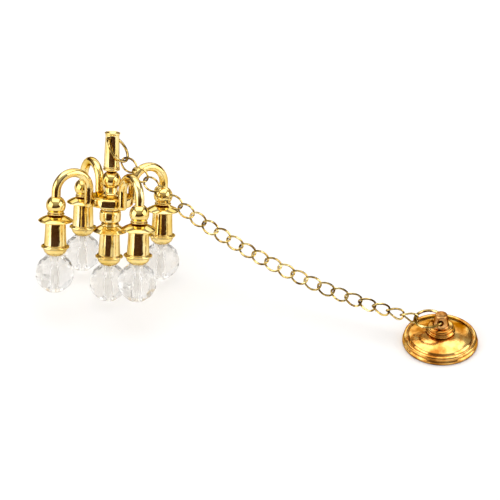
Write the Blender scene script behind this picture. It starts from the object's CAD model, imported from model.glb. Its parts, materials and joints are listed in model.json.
import bpy, bmesh, json, math
from mathutils import Matrix, Vector


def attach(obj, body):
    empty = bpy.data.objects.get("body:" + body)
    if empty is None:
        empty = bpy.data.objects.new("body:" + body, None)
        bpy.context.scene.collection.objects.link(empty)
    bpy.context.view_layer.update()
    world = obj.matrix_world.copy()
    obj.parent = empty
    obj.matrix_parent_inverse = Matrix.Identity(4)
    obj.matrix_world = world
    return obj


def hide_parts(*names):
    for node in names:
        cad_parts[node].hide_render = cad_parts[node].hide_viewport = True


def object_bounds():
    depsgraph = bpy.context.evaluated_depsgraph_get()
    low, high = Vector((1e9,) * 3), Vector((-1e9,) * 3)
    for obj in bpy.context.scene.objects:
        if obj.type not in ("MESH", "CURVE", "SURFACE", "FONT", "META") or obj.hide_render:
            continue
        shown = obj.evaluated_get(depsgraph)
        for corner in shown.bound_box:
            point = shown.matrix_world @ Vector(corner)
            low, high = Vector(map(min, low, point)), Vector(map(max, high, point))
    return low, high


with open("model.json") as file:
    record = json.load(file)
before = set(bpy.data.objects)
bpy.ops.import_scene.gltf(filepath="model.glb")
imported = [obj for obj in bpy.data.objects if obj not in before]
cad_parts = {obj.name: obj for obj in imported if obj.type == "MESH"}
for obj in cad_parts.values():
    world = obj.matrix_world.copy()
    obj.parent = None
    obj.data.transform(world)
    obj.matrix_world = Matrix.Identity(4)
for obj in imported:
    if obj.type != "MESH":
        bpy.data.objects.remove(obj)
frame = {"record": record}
cad_lo, cad_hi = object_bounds()
scene = bpy.context.scene
MM = 0.001

# ---------------------------------------------------------------- the CAD's layout, in mm
arm_reach, arm_r, centre_drop = 12.0, 0.88, 3.24
pan_R, cup_r, collar_r, bead_d = 3.4, 2.2, 2.8, 8.0
bead_n, bead_flat = 10, 1.6
bead_half = math.sqrt(16 - bead_flat ** 2)
bead_top, collar_z, bowl_z, cup_top, pan_t = -7.0, -5.0, -5.6, -0.17, 0.34
bead_z = bead_top - bead_half
link_wire, link_w, link_pitch, play, twist = 0.41, 2.8, 2.89, 0.07, 42.0
ring_wire, ring_od, ring_off = 0.55, 5.85, 0.25
wr, wl = ring_wire / 2, link_wire / 2
ring_r = (ring_od - ring_wire) / 2
R = math.radians
lean = math.degrees(math.atan(math.sqrt(2) * centre_drop / arm_reach))
rest_h = bead_half * math.cos(R(lean)) + bead_flat * math.cos(math.pi / bead_n) * math.sin(R(lean))
body_z = rest_h - (bead_z - centre_drop) * math.cos(R(lean))
bow = link_pitch + link_wire + play
hook = link_wire + play
ring_hook = wr + wl + play
LINKS = 23
link_turn, chain_az, post_z, post_az, post_el = 1.63, 156, 5.5, 168, -4
stem_hole_z, stem_hole_az, stem_tilt = 15.5, 32, -54


def vdir(az, el):
    return Vector((math.cos(R(az)) * math.cos(R(el)), math.sin(R(az)) * math.cos(R(el)), math.sin(R(el))))


BODY_ROT = Matrix.Rotation(R(31), 3, "Z") @ Matrix.Rotation(R(lean), 3, Vector((-1, 1, 0)).normalized())
post_dir = vdir(post_az, post_el)
rose_far = Vector((0, 0, post_z)) + post_dir * (2 * ring_r - ring_off)
stem_h = Vector((math.cos(R(stem_hole_az)), math.sin(R(stem_hole_az)), 0))
stem_g = stem_h.cross(Vector((0, 0, 1)))
stem_d = stem_g * math.cos(R(stem_tilt)) + Vector((0, 0, 1)) * math.sin(R(stem_tilt))
stem_far = BODY_ROT @ (Vector((0, 0, stem_hole_z)) + stem_d * (2 * ring_r - ring_off))


def step_len(k):
    return bow - ring_hook - hook / 2 if k in (1, LINKS) else bow - hook


mid = (LINKS + 1) / 2
sc = sum(step_len(k) * math.cos(R((k - mid) * link_turn)) for k in range(1, LINKS + 1))
sr = sum(step_len(k) * math.sin(R((k - mid) * link_turn)) for k in range(1, LINKS + 1))
rise = body_z + stem_far.z - rose_far.z
chord = math.hypot(sc, sr)
chord_el = math.degrees(math.asin(rise / chord) - math.atan2(sr, sc))
flat_run = math.sqrt(chord ** 2 - rise ** 2)
chain_end = rose_far + Vector((math.cos(R(chain_az)) * flat_run, math.sin(R(chain_az)) * flat_run, rise))
body_at = Vector((chain_end.x - stem_far.x, chain_end.y - stem_far.y, body_z))
BODY = Matrix.Translation(body_at) @ BODY_ROT.to_4x4()


def link_el(k):
    return chord_el + (k - mid) * link_turn


def link_roll(k):
    return -48 - 62 * 0.8 ** (k - 1)


def link_dir(k):
    return vdir(chain_az, link_el(k))


link_at = {1: rose_far - link_dir(1) * ring_hook}
for k in range(2, LINKS + 1):
    link_at[k] = link_at[k - 1] + link_dir(k - 1) * (bow - hook / 2) - link_dir(k) * hook / 2

BODIES = frame["record"]["behaviour"]["bodies"]
body_of_node = {n: b for b, ns in BODIES.items() for n in ns}
SEG = 112


# ---------------------------------------------------------------- materials
def nodes_of(name):
    m = bpy.data.materials.new(name)
    m.use_nodes = True
    nt = m.node_tree
    for n in list(nt.nodes):
        nt.nodes.remove(n)
    out = nt.nodes.new("ShaderNodeOutputMaterial")
    bsdf = nt.nodes.new("ShaderNodeBsdfPrincipled")
    nt.links.new(bsdf.outputs["BSDF"], out.inputs["Surface"])
    return m, nt, bsdf


def add(nt, kind, **values):
    n = nt.nodes.new(kind)
    for k, v in values.items():
        if k in n.inputs:
            n.inputs[k].default_value = v
        else:
            setattr(n, k, v)
    return n


def ramp(nt, fac, stops):
    r = nt.nodes.new("ShaderNodeValToRGB")
    while len(r.color_ramp.elements) < len(stops):
        r.color_ramp.elements.new(0.5)
    for e, (p, c) in zip(r.color_ramp.elements, stops):
        e.position = p
        e.color = (*c, 1) if len(c) == 3 else c
    nt.links.new(fac, r.inputs["Fac"])
    return r


def metal(name, light, mid_c, deep, rough=(0.05, 0.17), wobble=0.35, grain=0.12, rings=False, crevice=(0.30, 0.13, 0.03), edge_tint=(0.5, 0.3, 0.12),
          patch_scale=310.0, ripple_scale=620.0, spread=0.20, rub_at=(0.52, 0.60)):
    """Electroplated gilt: uneven plating colour, hazy handling patches, casting ripple, polishing scratches, darker lacquer in the corners."""
    m, nt, b = nodes_of(name)
    L = nt.links.new
    tc = add(nt, "ShaderNodeTexCoord")
    patch = add(nt, "ShaderNodeTexNoise", Scale=patch_scale, Detail=4.0, Roughness=0.55)
    L(tc.outputs["Object"], patch.inputs["Vector"])
    col = ramp(nt, patch.outputs["Fac"], [(0.5 - spread, deep), (0.50, mid_c), (0.5 + spread, light)])
    # lacquer and tarnish gather where surfaces meet
    ao = add(nt, "ShaderNodeAmbientOcclusion", Distance=0.0011)
    ao.samples = 6
    corner = ramp(nt, ao.outputs["AO"], [(0.18, crevice), (0.62, (1, 1, 1))])
    dirty = add(nt, "ShaderNodeMix")
    dirty.data_type = "RGBA"
    dirty.blend_type = "MULTIPLY"
    dirty.inputs["Factor"].default_value = 0.85
    L(col.outputs["Color"], dirty.inputs["A"])
    L(corner.outputs["Color"], dirty.inputs["B"])
    # rubbed edges are a touch paler
    geo = add(nt, "ShaderNodeNewGeometry")
    edge = ramp(nt, geo.outputs["Pointiness"], [(rub_at[0], (0, 0, 0)), (rub_at[1], (1, 1, 1))])
    rub = add(nt, "ShaderNodeMix")
    rub.data_type = "RGBA"
    rub.blend_type = "MIX"
    L(edge.outputs["Color"], rub.inputs["Factor"])
    L(dirty.outputs["Result"], rub.inputs["A"])
    rub.inputs["B"].default_value = (*[min(1, c * 1.04) for c in light], 1)
    L(rub.outputs["Result"], b.inputs["Base Color"])
    b.inputs["Metallic"].default_value = 1.0
    b.inputs["Specular Tint"].default_value = (*edge_tint, 1)  # thin plating darkens towards grazing angles
    # roughness: haze in patches, fine grain over it
    haze = add(nt, "ShaderNodeTexNoise", Scale=900.0, Detail=6.0, Roughness=0.62)
    L(tc.outputs["Object"], haze.inputs["Vector"])
    rr = add(nt, "ShaderNodeMapRange")
    rr.inputs["From Min"].default_value = 0.3
    rr.inputs["From Max"].default_value = 0.75
    rr.inputs["To Min"].default_value = rough[0]
    rr.inputs["To Max"].default_value = rough[1]
    L(haze.outputs["Fac"], rr.inputs["Value"])
    L(rr.outputs["Result"], b.inputs["Roughness"])
    # relief: casting ripple, polishing scratches, and turning marks on the rose
    ripple = add(nt, "ShaderNodeTexNoise", Scale=ripple_scale, Detail=2.0, Roughness=0.5)
    L(tc.outputs["Object"], ripple.inputs["Vector"])
    b1 = add(nt, "ShaderNodeBump", Strength=wobble, Distance=0.00006)
    L(ripple.outputs["Fac"], b1.inputs["Height"])
    mp = add(nt, "ShaderNodeMapping")
    mp.inputs["Scale"].default_value = (1.0, 0.18, 3.2)
    mp.inputs["Rotation"].default_value = (0.4, 0.2, 0.9)
    L(tc.outputs["Object"], mp.inputs["Vector"])
    scr = add(nt, "ShaderNodeTexNoise", Scale=5200.0, Detail=5.0, Roughness=0.7)
    L(mp.outputs["Vector"], scr.inputs["Vector"])
    b2 = add(nt, "ShaderNodeBump", Strength=grain, Distance=0.00001)
    L(scr.outputs["Fac"], b2.inputs["Height"])
    L(b1.outputs["Normal"], b2.inputs["Normal"])
    last = b2
    if rings:
        sep = add(nt, "ShaderNodeVectorMath", operation="MULTIPLY")
        sep.inputs[1].default_value = (1, 1, 0)
        L(tc.outputs["Object"], sep.inputs[0])
        ln = add(nt, "ShaderNodeVectorMath", operation="LENGTH")
        L(sep.outputs["Vector"], ln.inputs[0])
        wave = add(nt, "ShaderNodeTexNoise", Scale=6500.0, Detail=3.0, Roughness=0.6)
        wave.noise_dimensions = "1D"
        L(ln.outputs["Value"], wave.inputs["W"])
        b3 = add(nt, "ShaderNodeBump", Strength=0.22, Distance=0.00003)
        L(wave.outputs["Fac"], b3.inputs["Height"])
        L(b2.outputs["Normal"], b3.inputs["Normal"])
        last = b3
    L(last.outputs["Normal"], b.inputs["Normal"])
    return m


def clear_plastic(name):
    """Moulded clear bead: faint flow lines, slight haze, tiny scuffs, warm trace in the thick parts."""
    m, nt, b = nodes_of(name)
    L = nt.links.new
    tc = add(nt, "ShaderNodeTexCoord")
    flow = add(nt, "ShaderNodeTexNoise", Scale=240.0, Detail=3.0, Roughness=0.5, Distortion=0.6)
    L(tc.outputs["Object"], flow.inputs["Vector"])
    col = ramp(nt, flow.outputs["Fac"], [(0.35, (0.79, 0.775, 0.75)), (0.65, (0.88, 0.87, 0.85))])
    L(col.outputs["Color"], b.inputs["Base Color"])
    b.inputs["Metallic"].default_value = 0.0
    b.inputs["IOR"].default_value = 1.45
    b.inputs["Transmission Weight"].default_value = 0.9
    haze = add(nt, "ShaderNodeTexNoise", Scale=1500.0, Detail=6.0, Roughness=0.6)
    L(tc.outputs["Object"], haze.inputs["Vector"])
    rr = add(nt, "ShaderNodeMapRange")
    rr.inputs["From Min"].default_value = 0.4
    rr.inputs["From Max"].default_value = 0.8
    rr.inputs["To Min"].default_value = 0.02
    rr.inputs["To Max"].default_value = 0.08
    L(haze.outputs["Fac"], rr.inputs["Value"])
    L(rr.outputs["Result"], b.inputs["Roughness"])
    b1 = add(nt, "ShaderNodeBump", Strength=0.12, Distance=0.00004)
    L(flow.outputs["Fac"], b1.inputs["Height"])
    sc2 = add(nt, "ShaderNodeTexNoise", Scale=4200.0, Detail=4.0, Roughness=0.7)
    L(tc.outputs["Object"], sc2.inputs["Vector"])
    b2 = add(nt, "ShaderNodeBump", Strength=0.05, Distance=0.00001)
    L(sc2.outputs["Fac"], b2.inputs["Height"])
    L(b1.outputs["Normal"], b2.inputs["Normal"])
    L(b2.outputs["Normal"], b.inputs["Normal"])
    return m


GILT = metal("bright_gilt_plate", (0.99, 0.83, 0.42), (0.94, 0.72, 0.27), (0.84, 0.58, 0.14), wobble=0.6, crevice=(0.24, 0.11, 0.02),
             edge_tint=(0.42, 0.26, 0.10))
ROSE = metal("rose_gilt_plate", (0.95, 0.62, 0.20), (0.76, 0.37, 0.08), (0.40, 0.15, 0.02), rough=(0.08, 0.20), wobble=0.5,
             grain=0.3, rings=True, crevice=(0.10, 0.02, 0.004), edge_tint=(0.30, 0.14, 0.06), spread=0.12)
POST = metal("post_gilt_plate", (0.74, 0.40, 0.14), (0.52, 0.24, 0.07), (0.26, 0.10, 0.02), rough=(0.10, 0.24), wobble=0.5,
             grain=0.3, crevice=(0.12, 0.03, 0.006), edge_tint=(0.26, 0.12, 0.05), patch_scale=700.0, spread=0.12)
CHAIN = metal("chain_gilt_plate", (0.95, 0.76, 0.34), (0.54, 0.38, 0.11), (0.14, 0.07, 0.010), rough=(0.04, 0.12), wobble=0.5, grain=0.25,
              crevice=(0.06, 0.025, 0.005), edge_tint=(0.24, 0.14, 0.05), patch_scale=750.0, ripple_scale=1500.0, spread=0.13, rub_at=(0.90, 0.98))
BEAD = clear_plastic("clear_bead_plastic")


# ---------------------------------------------------------------- mesh making
def soften(pts, r=0.09, n=4):
    """Rounds every corner of a turned profile, in mm."""
    out = [pts[0]]
    for a, p, c in zip(pts, pts[1:], pts[2:]):
        va, vc = Vector(a) - Vector(p), Vector(c) - Vector(p)
        turn = math.degrees(va.angle(vc, math.pi)) if va.length and vc.length else 180
        if turn > 172:
            out.append(p)
            continue
        d = min(r, va.length * 0.42, vc.length * 0.42)
        s, e = Vector(p) + va.normalized() * d, Vector(p) + vc.normalized() * d
        for i in range(n + 1):
            t = i / n
            q = s * (1 - t) ** 2 + Vector(p) * 2 * t * (1 - t) + e * t ** 2
            out.append((q.x, q.y))
    out.append(pts[-1])
    return out


def arc2(cx, cz, r, a0, a1, n=18):
    return [(cx + r * math.cos(R(a0 + (a1 - a0) * i / n)), cz + r * math.sin(R(a0 + (a1 - a0) * i / n))) for i in range(n + 1)]


def turned(profile, seg=None):
    """A closed solid turned about z from a profile whose two ends lie on the axis, or that closes on itself."""
    seg = seg or SEG
    verts, rows = [], []
    for r, z in profile:
        if r < 1e-6:
            rows.append([len(verts)] * seg)
            verts.append((0, 0, z))
        else:
            rows.append(list(range(len(verts), len(verts) + seg)))
            verts += [(r * math.cos(2 * math.pi * j / seg), r * math.sin(2 * math.pi * j / seg), z) for j in range(seg)]
    faces = []
    for a, b in zip(rows, rows[1:]):
        for j in range(seg):
            k = (j + 1) % seg
            f = [a[j], a[k], b[k], b[j]]
            f = [v for i, v in enumerate(f) if v not in f[:i]]
            if len(f) > 2:
                faces.append(f)
    return verts, faces


def tube(path, radii, closed, ref=None, seg=20):
    """A round wire along a path; ref is the direction kept square to it, or None to use the way out from the middle."""
    n = len(path)
    P = [Vector(p) for p in path]
    mid_p = sum(P, Vector()) / n
    verts, faces = [], []
    for i in range(n):
        a, b = (P[i - 1], P[(i + 1) % n]) if closed else (P[max(i - 1, 0)], P[min(i + 1, n - 1)])
        t = (b - a).normalized()
        o = ref.copy() if ref is not None else (P[i] - mid_p)
        o = (o - t * o.dot(t)).normalized()
        q = t.cross(o)
        rr = radii[i] if isinstance(radii, (list, tuple)) else radii
        for j in range(seg):
            w = 2 * math.pi * j / seg
            verts.append(tuple(P[i] + (o * math.cos(w) + q * math.sin(w)) * rr))
    for i in range(n if closed else n - 1):
        for j in range(seg):
            k, i2 = (j + 1) % seg, (i + 1) % n
            faces.append([i * seg + j, i * seg + k, i2 * seg + k, i2 * seg + j])
    if not closed:
        faces.append(list(range(seg))[::-1])
        faces.append([(n - 1) * seg + j for j in range(seg)])
    return verts, faces


def build(name, geo, matrix=None, material=None):
    me = bpy.data.meshes.new(name)
    me.from_pydata(geo[0], [], geo[1])
    me.transform((Matrix.Scale(MM, 4)) @ (matrix or Matrix.Identity(4)))
    bm = bmesh.new()
    bm.from_mesh(me)
    bmesh.ops.recalc_face_normals(bm, faces=bm.faces)
    bm.to_mesh(me)
    bm.free()
    me.polygons.foreach_set("use_smooth", [True] * len(me.polygons))
    me.update()
    o = bpy.data.objects.new(name, me)
    scene.collection.objects.link(o)
    if material:
        me.materials.append(material)
    return o


def weigh(o):
    w = o.modifiers.new("weights", "WEIGHTED_NORMAL")
    w.keep_sharp = True
    w.weight = 60
    return o


def cut(o, cutters):
    """Applies boolean cuts and throws the cutters away."""
    for c in cutters:
        m = o.modifiers.new("cut", "BOOLEAN")
        m.operation, m.solver, m.object = "DIFFERENCE", "EXACT", c
    dg = bpy.context.evaluated_depsgraph_get()
    me = bpy.data.meshes.new_from_object(o.evaluated_get(dg))
    o.modifiers.clear()
    o.data = me
    for c in cutters:
        bpy.data.objects.remove(c)
    me.set_sharp_from_angle(angle=R(40))
    return o


def place(o, slot, *nodes):
    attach(o, body_of_node[nodes[0]])
    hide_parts(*nodes)
    return o


def put(name, geo, node, slot, matrix=None, mat=None, smooth=True):
    mats = {"bright_gilt": GILT, "rose_gilt": ROSE, "chain_gilt": CHAIN, "clear_bead": BEAD}
    o = build(name, geo, matrix, mat or mats[slot])
    if smooth:
        o.data.set_sharp_from_angle(angle=R(50))
        weigh(o)
    return place(o, slot, node)


# ---------------------------------------------------------------- rose
RR = 7.35
plate = soften([(0, 0), (RR - 0.15, 0), (RR - 0.05, 0.25), (RR - 0.05, 0.55), (RR - 0.25, 0.8), (RR - 0.3, 0.95), (RR - 0.22, 1.15),
                (RR - 0.3, 1.45), (RR - 0.6, 1.62), (RR - 0.86, 1.62), (RR - 1.02, 1.5), (RR - 1.1, 1.62), (RR - 1.3, 1.86),
                (RR - 1.9, 2.12), (RR - 2.9, 2.42), (RR - 4.0, 2.62), (2.4, 2.72), (0, 2.72)], r=0.16)
put("gilt_rose_plate", turned(plate, SEG * 2), "rose_plate", "rose_gilt")

post = soften([(0, 2.72), (2.72, 2.72), (2.85, 2.95), (2.8, 3.2), (2.6, 3.35), (2.5, 3.5), (2.55, 3.75), (2.45, 4.05), (2.2, 4.2),
               (1.6, 4.26), (1.5, 4.4), (1.42, 5.0), (1.2, 6.3), (1.2, 6.55), (1.08, 6.7), (0, 6.7)], r=0.11)
rose_post = build("gilt_rose_post", turned(post, 96), None, ROSE)
drill = build("drill", turned([(0, -4), (0.65, -4), (0.65, 4), (0, 4)], 48),
              Matrix.Translation((0, 0, post_z)) @ Matrix.Rotation(R(post_az - 90), 4, "Z") @ Matrix.Rotation(R(90), 4, "Y"))
cut(rose_post, [drill])
rose_post.data.materials.append(POST)
neck = max(v.co.z for v in rose_post.data.vertices) * 0.64
for f in rose_post.data.polygons:
    f.material_index = 1 if f.center.z > neck else 0
place(weigh(rose_post), "rose_gilt", "rose_post")


# ---------------------------------------------------------------- rings and chain
def ring_matrix(at, h, d):
    c, z = at + d * (ring_r - ring_off), h.cross(d)
    return Matrix(((h.x, d.x, z.x, c.x), (h.y, d.y, z.y, c.y), (h.z, d.z, z.z, c.z), (0, 0, 0, 1)))


ring_path = [(ring_r * math.cos(2 * math.pi * i / 96), ring_r * math.sin(2 * math.pi * i / 96), 0) for i in range(96)]
ring_geo = tube(ring_path, wr, True, seg=24)
put("gilt_ring_rose", ring_geo, "jump_ring_rose", "chain_gilt",
    ring_matrix(Vector((0, 0, post_z)), Vector((math.sin(R(post_az)), -math.cos(R(post_az)), 0)), post_dir))
put("gilt_ring_stem", ring_geo, "jump_ring_stem", "chain_gilt", BODY @ ring_matrix(Vector((0, 0, stem_hole_z)), stem_h, stem_d))

la, lb, leg_rise, bow_flat, hand = bow / 2, (link_w - link_wire) / 2, 26, 0.14, -1


def arc_pts(p, t, q, n):
    c = q - p
    nn = t.cross(c).normalized()
    u = nn.cross(t)
    a = math.acos(max(-1, min(1, c.normalized().dot(t))))
    r = c.length / (2 * math.sin(a))
    o = p + u * r
    return [o + (u * -math.cos(2 * a * i / n) + t * math.sin(2 * a * i / n)) * r for i in range(n + 1)]


def quarter(n=9):
    t1 = Vector((0, math.cos(R(twist)), hand * math.sin(R(twist))))
    t2 = Vector((-math.cos(R(leg_rise)), 0, -hand * math.sin(R(leg_rise))))
    p1, p2 = Vector((la, 0, 0)) + t1 * bow_flat, Vector((0, lb, 0))
    v = p2 - p1
    q, w = v.dot(t1 + t2), 2 * (1 - t1.dot(t2))
    d = (-q + math.sqrt(q * q + w * v.dot(v))) / w
    m = (p1 + p2 + (t1 - t2) * d) / 2
    tm = (p2 - t2 * d - p1 - t1 * d).normalized()
    return [Vector((la, 0, 0))] + arc_pts(p1, t1, m, n) + arc_pts(m, tm, p2, n)[1:]


Q = quarter()
Z2, X2 = Matrix.Rotation(math.pi, 3, "Z"), Matrix.Rotation(math.pi, 3, "X")
q2 = [X2 @ p for p in Q]
q3, q4 = [Z2 @ p for p in Q], [Z2 @ p for p in q2]
loop = Q + q4[::-1][1:] + q3[1:] + q2[::-1][1:-1]
link_geo = tube(loop, wl, True, seg=8)  # the wire is drawn with narrow flats
for k in range(1, LINKS + 1):
    at = link_at[k] + link_dir(k) * bow / 2
    M = (Matrix.Translation(at) @ Matrix.Rotation(R(chain_az), 4, "Z") @ Matrix.Rotation(R(-link_el(k)), 4, "Y")
         @ Matrix.Rotation(R(link_roll(k)), 4, "X"))
    put(f"gilt_link_{k:02d}", link_geo, f"chain_link_{k:02d}", "chain_gilt", M, smooth=False).data.polygons.foreach_set("use_smooth", [False] * len(link_geo[1]))

# ---------------------------------------------------------------- body
stem = soften([(0, 10.0), (1.6, 10.0), (1.52, 10.6), (1.46, 13.5), (1.36, 16.0), (1.36, 16.35), (1.55, 16.6), (1.55, 16.75),
               (1.45, 16.85), (1.28, 16.8), (0.95, 16.45), (0.85, 16.2), (0.85, 11.5), (0, 11.5)], r=0.1)
stem_o = build("gilt_stem_tube", turned(stem, 96), BODY, GILT)
drill = build("drill", turned([(0, -3), (0.65, -3), (0.65, 3), (0, 3)], 48),
              BODY @ Matrix.Translation((0, 0, stem_hole_z)) @ Matrix.Rotation(R(stem_hole_az), 4, "Z") @ Matrix.Rotation(R(90), 4, "Y"))
place(weigh(cut(stem_o, [drill])), "bright_gilt", "stem_tube")

put("gilt_stem_collar", turned(soften([(0, 9.1), (1.25, 9.1), (1.62, 9.25), (1.72, 9.45), (1.62, 9.65), (1.45, 9.75), (1.66, 9.85),
                                       (1.6, 10.0), (0, 10.0)], r=0.09)), "stem_collar", "bright_gilt", BODY)
ball_a = math.degrees(math.asin(-1.44 / 1.92))
put("gilt_hub_ball", turned(soften([(0, 4.5), (1.66, 4.5), (1.56, 4.62), (1.4, 4.9), (1.33, 5.25), (1.3, 5.6)], r=0.12) + arc2(0, 7.2, 1.92, ball_a, 81.6, 30) + [(0, 9.1)]), "hub_ball", "bright_gilt", BODY)
put("gilt_hub_disc", turned(soften([(0, 2.1), (3.9, 2.1), (4.3, 2.2), (4.45, 2.4), (4.45, 3.75), (4.25, 4.02), (3.6, 4.18), (2.2, 4.32),
                                    (1.75, 4.5), (0, 4.5)], r=0.25, n=5)), "hub_disc", "bright_gilt", BODY)
put("gilt_centre_barrel", turned(soften([(0, -2.07), (1.8, -2.07), (1.86, -1.9), (1.8, -1.7), (1.5, -1.62), (1.7, -1.4), (2.0, -1.15),
                                         (2.12, -0.8), (2.15, 0), (2.12, 0.75), (1.95, 1.05), (1.6, 1.18), (1.95, 1.25), (2.02, 1.42),
                                         (1.95, 1.62), (1.6, 1.75), (1.6, 2.1), (0, 2.1)], r=0.2, n=5)), "centre_barrel", "bright_gilt", BODY)

arch_r, arch_z, leg_end, ball_z, ball_r = 3.55, 5.75, 2.1, 3.05, 1.93
xi, xo = arm_reach - 2 * arch_r, arm_reach
arm_path = [(xi, 0, leg_end), (xi, 0, leg_end + 0.03), (xi, 0, leg_end + 0.14), (xi, 0, leg_end + 0.28), (xi, 0, leg_end + 0.45)]
arm_rad = [0.4, 0.52, 0.72, 0.82, arm_r]
for i in range(1, 6):
    arm_path.append((xi, 0, leg_end + 0.45 + (arch_z - leg_end - 0.45) * i / 6))
    arm_rad.append(arm_r)
for i in range(49):
    w = math.pi - math.pi * i / 48
    arm_path.append((arm_reach - arch_r + arch_r * math.cos(w), 0, arch_z + arch_r * math.sin(w)))
    arm_rad.append(arm_r)
for i in range(1, 5):
    arm_path.append((xo, 0, arch_z - (arch_z - ball_z - 1) * i / 4))
    arm_rad.append(arm_r)
arm_geo = tube(arm_path, arm_rad, False, ref=Vector((0, 1, 0)), seg=40)

ball_low = math.degrees(math.asin(-1.15 / 1.93))
fin_geo = turned(soften([(0, 1.3), (1.62, 1.3), (1.74, 1.4), (1.66, 1.5), (1.42, 1.55), (1.42, 1.62), (1.52, 1.68), (1.54, 1.8)], r=0.06)
                 + arc2(0, ball_z, ball_r, ball_low, 90, 34))


def pan_geo(h):
    return turned(soften([(0, cup_top), (pan_R - 0.2, cup_top), (pan_R, -0.08), (pan_R, 0.05), (pan_R - 0.15, pan_t - 0.17),
                          (2.75, 0.52 * h), (2.2, 0.8 * h), (1.8, h), (0, h)], r=0.1))


cup_geo = turned(soften([(0, collar_z), (cup_r, collar_z), (cup_r - 0.02, -4.6), (cup_r - 0.09, -3.4), (cup_r - 0.15, -2),
                         (cup_r - 0.19, -0.9), (cup_r - 0.2, cup_top), (0, cup_top)], r=0.3, n=5))
col_geo = turned(soften([(0, bead_top), (1.25, bead_top), (1.7, -6.75), (2.1, -6.35), (2.3, -5.9), (2.35, bowl_z), (collar_r - 0.35, bowl_z),
                         (collar_r - 0.04, -5.4), (collar_r, -5.28), (collar_r - 0.04, -5.14), (collar_r - 0.14, -5.1),
                         (collar_r - 0.4, -5.24), (collar_r - 0.58, -5.22), (collar_r - 0.6, collar_z), (0, collar_z)], r=0.09))

# faceted bead with softened edges and its hole
rings = [(bead_flat, bead_half, 0), (3.1, 2.5, 1), (3.92, 0.7, 0), (3.92, -0.7, 0), (3.1, -2.5, 1), (bead_flat, -bead_half, 0)]
bv = [(q * math.cos((j + o / 2) * 2 * math.pi / bead_n), q * math.sin((j + o / 2) * 2 * math.pi / bead_n), z)
      for q, z, o in rings for j in range(bead_n)]
bf = [list(range(bead_n)), [5 * bead_n + j for j in range(bead_n)][::-1]]
for s in range(5):
    for j in range(bead_n):
        a, b, c, d = s * bead_n + j, s * bead_n + (j + 1) % bead_n, (s + 1) * bead_n + j, (s + 1) * bead_n + (j + 1) % bead_n
        if rings[s][2] == rings[s + 1][2]:
            bf.append([a, b, d, c])
        elif rings[s][2] < rings[s + 1][2]:
            bf += [[a, b, c], [b, d, c]]
        else:
            bf += [[a, b, d], [a, d, c]]
proto = build("proto", (bv, bf))
bm = bmesh.new()
bm.from_mesh(proto.data)
bmesh.ops.bevel(bm, geom=list(bm.edges), offset=0.075 * MM, segments=3, affect="EDGES", profile=0.5)
bm.to_mesh(proto.data)
bm.free()
hole = build("hole", turned([(0, -6), (0.6, -6), (0.6, 6), (0, 6)], 40))
cut(proto, [hole])
proto_me = proto.data
bpy.data.objects.remove(proto)


def bead(i, M):
    me = proto_me.copy()
    me.name = f"clear_bead_{i}"
    me.transform(Matrix.Scale(1000, 4))
    turn = (-90 * (i - 1) if i <= 4 else 0) + 45 + 180 / bead_n
    # a hair inside the CAD bead, so that it never shares a face with the collar above it
    me.transform(Matrix.Scale(MM, 4) @ M @ Matrix.Translation((0, 0, bead_z - 0.012)) @ Matrix.Rotation(R(turn), 4, "Z") @ Matrix.Scale(0.997, 4))
    me.materials.clear()
    me.materials.append(BEAD)
    me.polygons.foreach_set("use_smooth", [True] * len(me.polygons))
    me.set_sharp_from_angle(angle=R(60))
    o = bpy.data.objects.new(f"clear_bead_{i}", me)
    scene.collection.objects.link(o)
    weigh(o)
    place(o, "clear_bead", f"bead_{i}")
    o.visible_shadow = False
    return o


for i in range(1, 6):
    spin = Matrix.Rotation(R(90 * (i - 1)), 4, "Z")
    M = BODY @ spin @ Matrix.Translation((arm_reach, 0, 0)) if i <= 4 else BODY @ Matrix.Translation((0, 0, -centre_drop))
    if i <= 4:
        put(f"gilt_arm_{i}", arm_geo, f"arm_{i}", "bright_gilt", BODY @ spin)
        put(f"gilt_finial_{i}", fin_geo, f"finial_ball_{i}", "bright_gilt", M)
    put(f"gilt_pan_{i}", pan_geo(0.95 if i <= 4 else centre_drop - 2.07), f"drip_pan_{i}", "bright_gilt", M)
    put(f"gilt_cup_{i}", cup_geo, f"lamp_cup_{i}", "bright_gilt", M)
    put(f"gilt_collar_{i}", col_geo, f"cup_collar_{i}", "bright_gilt", M)
    bead(i, M)
bpy.data.meshes.remove(proto_me)

# ---------------------------------------------------------------- floor, light, camera
fm, nt, b = nodes_of("studio_floor")
tc = add(nt, "ShaderNodeTexCoord")
grain_n = add(nt, "ShaderNodeTexNoise", Scale=60.0, Detail=3.0)
nt.links.new(tc.outputs["Object"], grain_n.inputs["Vector"])
fr = ramp(nt, grain_n.outputs["Fac"], [(0.3, (0.90, 0.90, 0.90)), (0.7, (0.915, 0.915, 0.915))])
nt.links.new(fr.outputs["Color"], b.inputs["Base Color"])
b.inputs["Roughness"].default_value = 0.75
b.inputs["Specular IOR Level"].default_value = 0.15
floor_me = bpy.data.meshes.new("studio_floor")
fs = 3.0
floor_me.from_pydata([(-fs, -fs, 0), (fs, -fs, 0), (fs, fs, 0), (-fs, fs, 0)], [], [(0, 1, 2, 3)])
floor = bpy.data.objects.new("studio_floor", floor_me)
floor_me.materials.append(fm)
scene.collection.objects.link(floor)
floor.location.z = min(cad_lo.z, 0) - 0.00002

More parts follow.
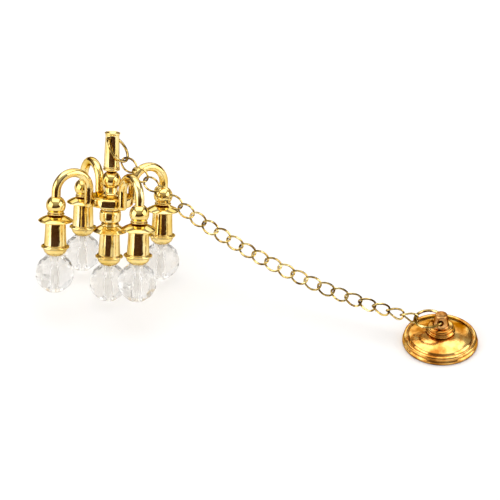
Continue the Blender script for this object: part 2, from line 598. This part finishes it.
world = bpy.data.worlds.new("studio")
scene.world = world
world.use_nodes = True
wn = world.node_tree
for n in list(wn.nodes):
    wn.nodes.remove(n)
wo = wn.nodes.new("ShaderNodeOutputWorld")
bg = wn.nodes.new("ShaderNodeBackground")
wn.links.new(bg.outputs[0], wo.inputs[0])
wt = add(wn, "ShaderNodeTexCoord")
ws = add(wn, "ShaderNodeSeparateXYZ")
wn.links.new(wt.outputs["Generated"], ws.inputs[0])
wr_ = ramp(wn, ws.outputs["Z"], [(0.0, (0.045, 0.018, 0.010)), (0.25, (0.09, 0.042, 0.028)), (0.55, (0.35, 0.32, 0.29)), (1.0, (0.7, 0.7, 0.7))])
white = ramp(wn, ws.outputs["Z"], [(0.0, (1.1, 1.1, 1.1)), (1.0, (1.12, 1.12, 1.12))])
lp = add(wn, "ShaderNodeLightPath")
pick = add(wn, "ShaderNodeMix")
pick.data_type = "RGBA"
seen = add(wn, "ShaderNodeMath", operation="MAXIMUM")
wn.links.new(lp.outputs["Is Transmission Ray"], seen.inputs[0])
wn.links.new(lp.outputs["Is Camera Ray"], seen.inputs[1])
wn.links.new(seen.outputs[0], pick.inputs["Factor"])
wn.links.new(wr_.outputs["Color"], pick.inputs["A"])
wn.links.new(white.outputs["Color"], pick.inputs["B"])
wn.links.new(pick.outputs["Result"], bg.inputs["Color"])
bg.inputs["Strength"].default_value = 0.9


def softbox(name, at, look, size, power, tint=(1, 1, 1)):
    l = bpy.data.lights.new(name, "AREA")
    l.shape = "RECTANGLE"
    l.size, l.size_y = size
    l.energy = power
    l.color = tint
    o = bpy.data.objects.new(name, l)
    o.location = at
    o.rotation_euler = (Vector(look) - Vector(at)).to_track_quat("-Z", "Y").to_euler()
    scene.collection.objects.link(o)
    return o


centre = (-0.036, 0.02, 0.015)
softbox("top", (-0.03, 0.12, 0.55), centre, (0.75, 0.55), 2.1)
softbox("left", (-0.52, -0.16, 0.22), (-0.05, 0.02, 0.02), (0.5, 0.42), 1.5)
softbox("right", (0.48, -0.12, 0.22), (-0.03, 0.02, 0.02), (0.5, 0.42), 1.5)
softbox("back", (-0.02, 0.60, 0.30), (-0.03, 0.02, 0.02), (0.8, 0.3), 0.9)

cam_data = bpy.data.cameras.new("camera")
cam = bpy.data.objects.new("camera", cam_data)
scene.collection.objects.link(cam)
scene.camera = cam
cam_data.sensor_width = 36
cam_data.lens = 109.3
cam_data.clip_start, cam_data.clip_end = 0.01, 20
cam_data.dof.use_dof = False
el, roll = R(35.39), R(-2.11)
zc = Vector((0, -math.cos(el), math.sin(el)))
yc0, xc0 = Vector((0, math.sin(el), math.cos(el))), Vector((1, 0, 0))
xc = xc0 * math.cos(roll) + yc0 * math.sin(roll)
yc = xc0 * -math.sin(roll) + yc0 * math.cos(roll)
cam.matrix_world = Matrix(((xc.x, yc.x, zc.x, -0.03622), (xc.y, yc.y, zc.y, -0.22937), (xc.z, yc.z, zc.z, 0.18645), (0, 0, 0, 1)))
scene.view_settings.view_transform = "Standard"

bpy.context.view_layer.update()
